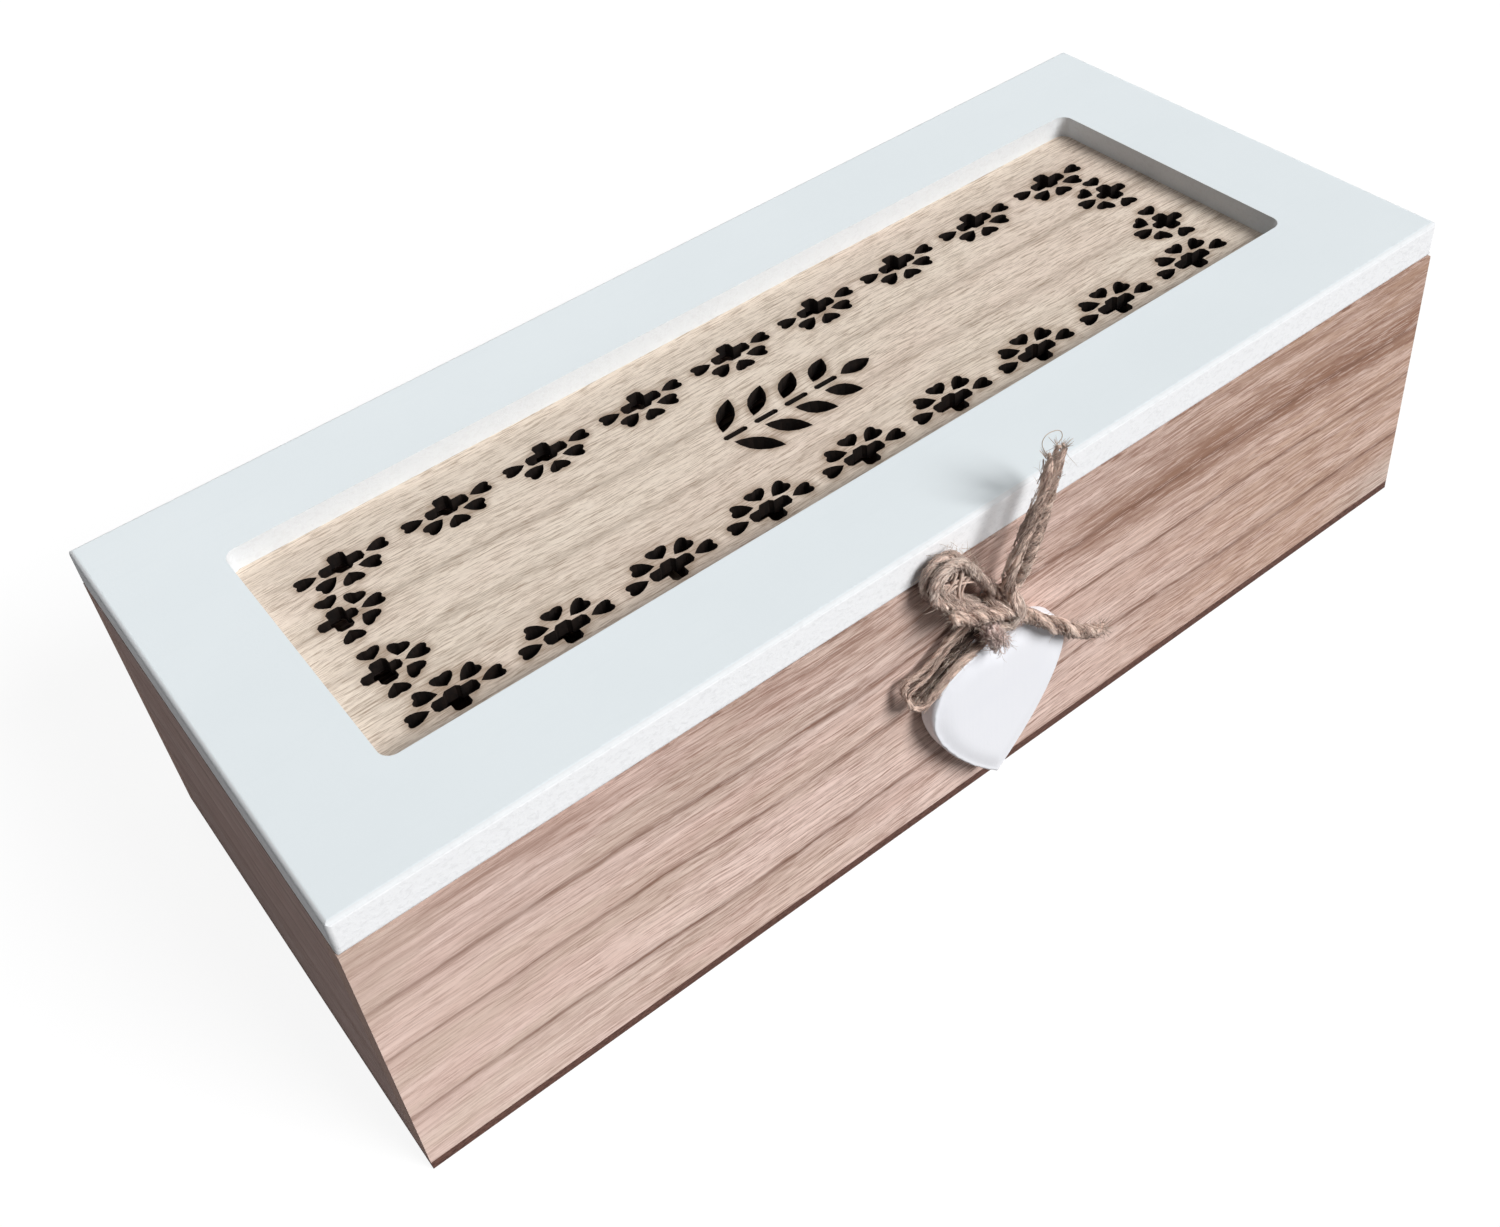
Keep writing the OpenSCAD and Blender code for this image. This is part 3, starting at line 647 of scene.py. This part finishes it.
# ---------------------------------------------------------------- twine
def jute(name, light, middle, dark):
    """Jute: streaks of pale and brown fibre that run along each strand."""
    made, tree, surface = new_material(name, 0.85, 0.15)
    surface.inputs["Sheen Weight"].default_value = 0.25
    surface.inputs["Sheen Roughness"].default_value = 0.6
    along = node(tree, "TexCoord", out="UV")
    streak = noise(tree, along, (0.35, 9.0, 1.0), 3.0, 4.0, 0.65)
    thread = noise(tree, along, (0.9, 24.0, 1.0), 13.0, 3.0, 0.6)
    patch = noise(tree, millimetres(tree), (0.33, 0.33, 0.33), 21.0, 3.0)
    colour = mix(tree, fade(tree, streak, 0.36, 0.62), dark, middle)
    colour = mix(tree, fade(tree, thread, 0.50, 0.68, 0.0, 0.75), colour, light)
    colour = mix(tree, fade(tree, patch, 0.38, 0.68, 0.0, 0.5), colour, light)
    tree.links.new(colour, surface.inputs["Base Color"])
    height = calc(tree, "ADD", times(tree, streak, 0.5), times(tree, thread, 0.5))
    bump(tree, surface, height, 0.8, 0.00025)
    return made


twine = jute("jute", rgb(0.95, 0.765, 0.645), rgb(0.72, 0.510, 0.415), rgb(0.20, 0.112, 0.083))
# Painted light: a paler copy of the jute, for the loops and the knot, which lie in shade.
twine_painted_light = jute("jute_painted_light", rgb(1.0, 0.87, 0.765), rgb(0.88, 0.665, 0.560), rgb(0.30, 0.180, 0.140))
# A pinker copy of the jute, made much lighter as painted light for the tuft, which hangs in the shade
# under the knot.
twine_pink_painted_light = jute("jute_pink_painted_light", rgb(1.0, 0.86, 0.80), rgb(0.94, 0.73, 0.665), rgb(0.54, 0.36, 0.315))
# Painted shade: a near-black copy of the jute, for strands put where shade falls between the left tail
# and the wall.
twine_painted_shade = jute("jute_painted_shade", rgb(0.30, 0.21, 0.16), rgb(0.15, 0.095, 0.070), rgb(0.05, 0.032, 0.025))
twine_fibre = jute("jute_fibre", rgb(0.88, 0.76, 0.64), rgb(0.62, 0.48, 0.385), rgb(0.34, 0.235, 0.18))

lines = {name: curve(*route) for name, route in ROUTES.items()}
drawn = dict(lines)

# The two tails that stand up splay a little to both sides below, and lie together at the top.
SIDEWAYS = np.array([0.72, -0.69, 0.0])
for name, most in (("tail_up_twisted", 1.15), ("tail_up_smooth", -1.25)):
    splay = most * np.interp(shares(lines[name]), [0, 0.14, 0.32, 0.8], [0.2, 1, 0.9, 0])
    drawn[name] = lines[name] + splay[:, None] * SIDEWAYS


def finish_piece(made, body, *nodes, slot="twine"):
    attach(made, body)
    if nodes:
        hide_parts(*nodes)
    return made


def two_ply(name, diameter, body, rng, pitch, phase, open_end=0.0, gap=0.44, ply=0.64, fibres=4.0,
            slim=0.0):
    """A two-ply twine, with fibres that lie on it. open_end parts its plies over its last millimetres."""
    shape, line = Shape(), drawn[name]
    s = distances(line)
    radius = diameter / 2 * np.linspace(1, 1 - slim, len(line))
    part = 1 + 0.8 * np.clip((s - s[-1] + open_end) / max(open_end, 1e-9), 0, 1)
    taper = 1 - 0.25 * np.clip((s - s[-1] + 1.2) / 1.2, 0, 1)
    twisted(shape, line, gap * radius * part, pitch, phase, ply * radius * taper, rng, 18, 6, 3.4, 0.07)
    cling(shape, line, 1.02 * radius.mean(), int(fibres * s[-1]), rng, pitch)
    return finish_piece(shape.build(name + "_twine", twine), body, name)


def loop_of(name, inwards, crossing, rng):
    """A loop of the bow. Its plies have come apart, and one of them runs inside the other.

    The fibres that cross the inside of the loop go into the shape crossing."""
    shape, line = Shape(), lines[name]
    centre = line[len(line) // 5:-len(line) // 5].mean(axis=0)
    s = shares(line)
    apart = np.interp(s, [0, 0.18, 0.4, 0.65, 0.85, 1], [0.1, 0.7, 1.0, 1.0, 0.75, 0.1])[:, None]
    towards = centre - line
    towards /= np.maximum(np.linalg.norm(towards, axis=1), 1e-6)[:, None]
    outer = line + np.interp(s, [0, 0.15, 0.35, 0.5, 1], [0, 0.9, 0.9, 0, 0])[:, None] * towards
    inner = line + inwards * apart * towards + np.array([0, 0.35, 0]) * apart
    between = line + 0.58 * inwards * apart * towards
    for one, radius in ((outer, 0.70), (inner, 0.60), (between, 0.46)):
        twisted(shape, one, 0.36 * radius, 9.0, rng.uniform(0, 6), 0.72 * radius, rng, 16, 5, 3.2, 0.10)
    for _ in range(7):
        first, last = rng.uniform(0.12, 0.45), rng.uniform(0.55, 0.88)
        ends = [inner[int(share * (len(inner) - 1))] for share in (first, last)]
        middle = 0.35 * (ends[0] + ends[1]) + 0.3 * centre + 0.7 * rng.normal(size=3)
        across = smooth_line(np.array([ends[0], middle, ends[1]]), STEP)
        strand(crossing, across, rng.uniform(0.16, 0.32), rng, 8)
    cling(shape, outer, 0.80, 170, rng, 8.0, 0.06)
    cling(shape, inner, 0.78, 150, rng, 10.0, 0.06, 12.0, 0.7)
    # The loop takes the paler copy of the jute, which is painted light.
    return finish_piece(shape.build(name + "_twine", twine_painted_light), "bow", name)


def right_tail(rng):
    """The tail on the right: two loosened plies that close up towards its end."""
    shape, line = Shape(), lines["tail_right"]
    s = shares(line)
    open_up = np.interp(s, [0, 0.15, 0.45, 0.7, 1], [0.55, 0.8, 1.0, 0.6, 0.45])
    radius = np.interp(s, [0, 0.5, 0.8, 1], [0.72, 0.72, 0.66, 0.5])
    twisted(shape, line, open_up, 19.0, 2.3, radius, rng, 16, 5, 3.0, 0.1)
    cling(shape, line, 1.25, 110, rng, 9.0)
    return finish_piece(shape.build("tail_right_twine", twine), "heart_pendant", "tail_right")


# A strand of the left tail runs out along the heart's edge and curls back over the heart's corner.
HAIRPIN = [[-3.0, -0.6, -5.2], [-4.9, -0.3, -6.9], [-10.2, 0.0, -8.6], [-15.1, 0.1, -11.7],
           [-17.7, 0.2, -13.0], [-19.6, 0.3, -12.0], [-21.0, 0.5, -9.2], [-20.2, 0.8, -7.6],
           [-16.4, 1.1, -6.9], [-10.4, 1.2, -4.2], [-5.8, 1.0, -1.7], [-3.0, 0.5, -0.8]]
# How each strand is shifted from the hairpin, how thick it is, and which of the points it takes.
LEFT_STRANDS = (((0, -0.5, 0.0), 0.50, 0, 7), ((0.3, 0.4, 0.5), 0.42, 0, 8),
                ((-0.4, -0.7, 0.7), 0.36, 0, 6), ((0.2, 0.3, 0.6), 0.40, 5, 12),
                ((0.9, -0.3, -0.5), 0.30, 6, 12))


def left_tail(rng):
    """The tail on the left: a few loose strands, and dark ones in the gap towards the wall, which are
    painted shade.
    """
    shape = Shape()
    for shift, radius, first, last in LEFT_STRANDS:
        points = np.array(HAIRPIN[first:last]) + np.array(shift)
        points += 0.22 * rng.normal(size=points.shape)
        one = curve(*points)
        twisted(shape, one, 0.42 * radius, 6.5, rng.uniform(0, 6), 0.68 * radius, rng, 14, 5, 3.0, 0.10)
        cling(shape, one, radius + 0.05, 36, rng, 8.0, 0.06, 9.0, 0.6)
    finish_piece(shape.build("tail_left_strands", twine), "heart_pendant", "tail_left")
    # Painted shade: dark strands in the gap between the tail and the wall.
    shape, line = Shape(), lines["tail_left"]
    spread = np.interp(np.linspace(0, 1, len(line)), [0, 0.3, 0.75, 1], [0.3, 0.7, 0.7, 0.2])
    loose(shape, line, spread, 5, 0.36, rng, 0.5)
    cling(shape, line, 1.0, 60, rng, 12.0, 0.06, 7.0, 0.5)
    finish_piece(shape.build("tail_left_painted_shade_strands", twine_painted_shade), "heart_pendant")


def tuft(line, rng):
    """The short tail over the notch is a thick brush of loosened fibres."""
    shape = Shape()
    spread = np.interp(np.linspace(0, 1, len(line)), [0, 0.45, 1], [0.9, 1.5, 0.5])
    loose(shape, line, spread, 11, 0.46, rng, 0.5)
    cling(shape, line, 1.6, 110, rng, 14.0, 0.06, 5.0, 0.6)
    # The tuft takes the lighter pink copy of the jute, which is painted light.
    finish_piece(shape.build("tail_short_tuft", twine_pink_painted_light), "heart_pendant", "tail_short")


# Twine over the front of the knot, given from the middle of the knot, with its radius.
OVER_KNOT = (
    ([[-2.6, 0.4, 3.0], [-2.2, -2.4, 2.7], [-0.6, -4.0, 1.2], [1.0, -4.1, -0.9], [2.5, -2.9, -2.7],
      [3.0, -0.2, -3.2]], 0.62),
    ([[-3.2, -0.2, -1.6], [-2.2, -3.0, -2.1], [0.4, -3.6, -2.2], [2.6, -2.6, -0.6],
      [3.1, -0.2, 1.2]], 0.66),
    ([[0.2, -0.6, 3.2], [1.3, -3.0, 2.4], [1.6, -3.9, 0.4], [0.9, -3.5, -2.0],
      [0.2, -1.0, -3.2]], 0.80),
    ([[-1.0, -0.8, 3.1], [0.2, -3.4, 2.3], [0.5, -4.2, 0.2], [-0.2, -3.8, -2.0],
      [-0.9, -1.2, -3.1]], 0.66),
)


def knot_winding():
    """The line of the twine that winds round the knot."""
    t = np.linspace(0, 1, 90)
    turn = TAU * 2.3 * t - 0.6
    return KNOT + np.stack([2.3 * (t - 0.5) + 0.35 * np.sin(turn), 2.1 * np.cos(turn),
                            2.15 * np.sin(turn)], 1)


def knot(winding, rng):
    """The knot: turns of twine wound round the strands that run through it."""
    shape = Shape()
    twisted(shape, winding, 0.40, 5.0, 0.3, 0.60, rng, 14, 5, 3.0, 0.08)
    cling(shape, winding, 0.95, 60, rng, 6.0)
    for shift, tilt in ((-0.7, 0.9), (0.7, -0.6), (0.0, 0.2)):
        core = curve([-2.6, shift * 0.6, -tilt], [-0.8, shift, 0.3 * tilt], [0.9, -shift, 0.1],
                     [2.6, -shift * 0.6, tilt])
        strand(shape, core, 0.85, rng, 12)
    for points, radius in OVER_KNOT:
        over = curve(*points)
        twisted(shape, over, 0.45 * radius, 6.0, rng.uniform(0, 6), 0.68 * radius, rng, 14, 5, 3.0, 0.10)
        cling(shape, over, radius + 0.05, 50, rng, 7.0, 0.06, 7.0, 0.6)
    # The knot takes the paler copy of the jute, which is painted light.
    finish_piece(shape.build("twine_knot_wraps", twine_painted_light), "bow", "twine_knot")


# The fibre that curls over the end of a standing tail, given from that end.
WISP = [[0, 0, -1], [-1.0, 0.2, 1.2], [-1.6, 0.3, 3.2], [-0.9, 0.2, 4.6], [0.8, 0, 4.7],
        [2.0, -0.2, 4.0], [2.3, -0.2, 2.6], [1.6, 0, 1.6]]


def bow_fibres(winding, rng):
    """Loose fibres on the bow and at its cut ends."""
    shape = Shape()
    for name, count in (("bow_loop_front", 150), ("bow_loop_back", 130), ("tail_up_twisted", 120),
                        ("tail_up_smooth", 110), ("bow_stub", 70)):
        fuzz(shape, drawn[name], 1.0, count, rng)
    fuzz(shape, winding, 0.9, 90, rng)
    for name, count in (("tail_up_twisted", 26), ("tail_up_smooth", 26), ("bow_stub", 20)):
        brush(shape, lines[name], 0.7, count, 1.7, rng)
    shape.tube(smooth_line(lines["tail_up_smooth"][-1] + np.array(WISP), 0.15), 0.075, 5)
    finish_piece(shape.build("bow_fibres", twine_fibre), "bow")


def pendant_fibres(short, rng):
    """Loose fibres on the twine that hangs with the heart, and at its cut ends."""
    shape = Shape()
    for line, radius, count in ((lines["tail_left"], 1.5, 170), (lines["tail_right"], 1.1, 130),
                                (lines["heart_strand"], 0.9, 24), (short, 1.5, 130)):
        fuzz(shape, line, radius, count, rng)
    for line, radius, count, length in ((lines["tail_left"], 1.1, 24, 1.8),
                                        (lines["tail_right"], 0.7, 26, 2.2), (short, 0.7, 50, 0.9)):
        brush(shape, line, radius, count, length, rng)
    finish_piece(shape.build("pendant_fibres", twine_fibre), "heart_pendant")


# All twine takes its random numbers from one source, in this order.
rng = np.random.default_rng(7)
crossing = Shape()
loop_front = loop_of("bow_loop_front", 1.45, crossing, rng)
loop_back = loop_of("bow_loop_back", 1.75, crossing, rng)
finish_piece(crossing.build("bow_loop_fibres", twine), "bow")
up_twisted = two_ply("tail_up_twisted", 2.4, "bow", rng, 5.6, 1.0, open_end=3.0, gap=0.56, ply=0.55,
                     fibres=5.0, slim=0.42)
up_smooth = two_ply("tail_up_smooth", 2.6, "bow", rng, 15.0, 0.2, open_end=3.0, gap=0.50, ply=0.58,
                    slim=0.42)
two_ply("bow_stub", 2.3, "bow", rng, 7.0, 0.9)
two_ply("heart_strand", 1.9, "heart_pendant", rng, 4.6, 0.0)
right = right_tail(rng)
left_tail(rng)

short_tail = curve([-4.4, -2.7, -0.6], [-4.0, -3.1, -2.4], [-3.4, -3.2, -4.2], [-2.2, -3.4, -6.0])
winding = knot_winding()
tuft(short_tail, rng)
knot(winding, rng)
bow_fibres(winding, rng)
pendant_fibres(short_tail, rng)

# ---------------------------------------------------------------- heart
# The heart's sizes in part.scad, in millimetres.
LOBE_R, LOBE_X, TIP, FULL, LEAN, THICK = 10.2, 5.7, 25.3, 0.4, math.radians(2), 4.1
HEART_AT = np.array([1.4, -51.0, 31.2])
MIDDLE = np.array([0.0, -6.0])
REACH = 14.5  # about how far the outline lies from the middle
# The rings of the heart from its back to its front: how deep each lies, and how far inside the outline.
RINGS = [(0.0, 0.6), (0.12, 0.3), (0.35, 0.1), (0.6, 0.0), (1.2, 0.0), (1.8, 0.0), (2.4, 0.0),
         (2.9, 0.0), (3.25, 0.03), (3.46, 0.12), (3.58, 0.30), (3.60, 0.50), (3.59, 0.75), (3.63, 1.1),
         (3.72, 1.6), (3.85, 2.2), (3.98, 2.9), (4.07, 3.7), (4.10, 4.7)]
# Where the uneven bead lies on the rings: its depth, how wide it is, and how far inwards it goes.
BEAD_DEPTH, BEAD_WIDTH, BEAD_INSET = 3.5, 0.35, 3.0


def heart_outline(steps_arc=60, steps_side=48):
    """The outline of the heart, clockwise from the notch seen from the front."""
    notch = math.sqrt(LOBE_R**2 - LOBE_X**2)
    a0, a1 = math.atan2(notch, -LOBE_X), math.radians(-14)
    arc = [(LOBE_X + LOBE_R * math.cos(a0 + (a1 - a0) * i / steps_arc),
            LOBE_R * math.sin(a0 + (a1 - a0) * i / steps_arc)) for i in range(steps_arc + 1)]
    tail, end = np.array(arc[-1]), np.array([0, -TIP])
    bulge = tail + FULL * np.linalg.norm(end - tail) * np.array([math.sin(a1), -math.cos(a1)])
    side = [tuple((1 - t) ** 2 * tail + 2 * t * (1 - t) * bulge + t * t * end)
            for t in (i / steps_side for i in range(1, steps_side + 1))]
    half = arc + side
    return np.array(half + [(-x, z) for x, z in half[-2:0:-1]])


def uneven(rng, n, width):
    """Random numbers round a closed outline, smoothed over width of its points."""
    wave = np.tile(rng.normal(size=n), 3)
    window = np.hanning(width) / np.hanning(width).sum()
    return np.convolve(wave, window, "same")[n:2 * n] * math.sqrt(width) * 0.7


def wooden_heart():
    """A sawn heart with a bead of paint round its front edge and a soft hollow inside the bead."""
    outline = heart_outline()
    n = len(outline)
    rng = np.random.default_rng(3)
    rough = uneven(rng, n, 5)
    drift = uneven(rng, n, 31)
    verts, faces = [], []
    for depth, inset in RINGS:
        near = math.exp(-((depth - BEAD_DEPTH) / BEAD_WIDTH) ** 2) if inset < BEAD_INSET else 0.0
        cut = np.maximum(inset + near * (0.05 * rough + 0.10 * drift), 0.0)
        flat = MIDDLE + (outline - MIDDLE) * (1 - cut / REACH)[:, None]
        lift = near * (0.02 * rough + 0.035 * drift)
        verts += [(x, -min(depth + h, THICK), z) for (x, z), h in zip(flat, lift)]
    for share in (0.35, 0.6, 0.8, 0.93):
        flat = MIDDLE + (np.array([(v[0], v[2]) for v in verts[-n:]]) - MIDDLE) * (1 - share * 0.5)
        verts += [(x, -THICK, z) for x, z in flat]
    for j in range(len(verts) // n - 1):
        for i in range(n):
            a, b = n * j + i, n * j + (i + 1) % n
            faces.append((a, b, b + n, a + n))
    count = len(verts)
    verts += [(MIDDLE[0], 0.0, MIDDLE[1]), (MIDDLE[0], -THICK, MIDDLE[1])]
    for i in range(n):
        faces.append((count, (i + 1) % n, i))
        faces.append((count + 1, count - n + i, count - n + (i + 1) % n))
    v = np.array(verts)
    leaning = np.stack([v[:, 0] * math.cos(LEAN) + v[:, 2] * math.sin(LEAN), v[:, 1],
                        -v[:, 0] * math.sin(LEAN) + v[:, 2] * math.cos(LEAN)], 1)
    return new_piece("wooden_heart", leaning + HEART_AT, faces, heart_paint)


finish_piece(wooden_heart(), "heart_pendant", "heart", slot="heart_paint")

# ---------------------------------------------------------------- materials of the CAD nodes
LOOKS = {
    "front_wall": front_wood,
    "back_wall": back_wood,
    "left_wall": left_wood,
    "right_wall": right_wood,
    "divider_left": divider_ply,
    "divider_right": divider_ply,
    "base_panel": hardboard(),
    "lid_frame": lid_paint,
    "lid_panel": panel_wood(),
    "hinge_left_box_leaf": brass,
    "hinge_right_box_leaf": brass,
    "hinge_left_lid_leaf": brass,
    "hinge_right_lid_leaf": brass,
    "hinge_left_pin": steel,
    "hinge_right_pin": steel,
    "hinge_screws_box": brass,
    "hinge_screws_lid": brass,
    "base_brads": steel,
    "bow_pin": steel,
    "heart": heart_paint,
}
for name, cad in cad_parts.items():
    look = LOOKS.get(name, twine)
    if not cad.material_slots:
        cad.data.materials.append(look)
    for place in cad.material_slots:
        place.material = look

# ---------------------------------------------------------------- floor, world and light
FLOOR_HALF, FLOOR_GAP = 3.0, 0.0002
WHITE = rgb(1, 1, 1)


def seen(tree):
    """1 for a ray that shows the background to the eye, 0 for one that carries its light."""
    path = tree.nodes.new("ShaderNodeLightPath")
    first = calc(tree, "ADD", path.outputs["Is Camera Ray"], path.outputs["Is Glossy Ray"])
    return calc(tree, "ADD", first, path.outputs["Is Transmission Ray"], clamp=True)


def floor_look():
    """White to the eye, with a soft shadow, and grey to the light that it throws back."""
    made = bpy.data.materials.new("floor")
    tree = cleared(made)
    glow = node(tree, "Emission", {"Color": WHITE, "Strength": 0.90})
    lit = node(tree, "BsdfDiffuse", {"Color": rgb(0.14, 0.14, 0.14)})
    plain = node(tree, "AddShader", {0: glow, 1: lit})
    dim = node(tree, "BsdfDiffuse", {"Color": rgb(0.16, 0.16, 0.16)})
    give_output(tree, "Material", node(tree, "MixShader", {0: seen(tree), 1: dim, 2: plain}))
    return made


corners = [(x * FLOOR_HALF, y * FLOOR_HALF, 0) for x, y in ((-1, -1), (1, -1), (1, 1), (-1, 1))]
floor_mesh = bpy.data.meshes.new("floor")
floor_mesh.from_pydata(corners, [], [(0, 1, 2, 3)])
floor_mesh.materials.append(floor_look())
floor = bpy.data.objects.new("floor", floor_mesh)
floor.location.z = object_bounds()[0][2] - FLOOR_GAP
scene.collection.objects.link(floor)

world = bpy.data.worlds.new("world")
scene.world = world
sky = cleared(world)
white = node(sky, "Background", {"Color": WHITE, "Strength": 1.0})
soft = node(sky, "Background", {"Color": rgb(0.95, 0.97, 1.0), "Strength": 0.12})
give_output(sky, "World", node(sky, "MixShader", {0: seen(sky), 1: soft, 2: white}))


def sun(name, towards, level, angle):
    """A soft distant lamp. level is what it gives a white surface that faces it."""
    data = bpy.data.lights.new(name, "SUN")
    data.energy = level * math.pi
    data.angle = math.radians(angle)
    made = bpy.data.objects.new(name, data)
    made.rotation_euler = Vector(towards).to_track_quat("Z", "Y").to_euler()
    scene.collection.objects.link(made)


sun("key", (0.35, -0.72, 0.60), 1.18, 30)
sun("back_fill", (0.10, 0.95, 0.22), 0.38, 50)
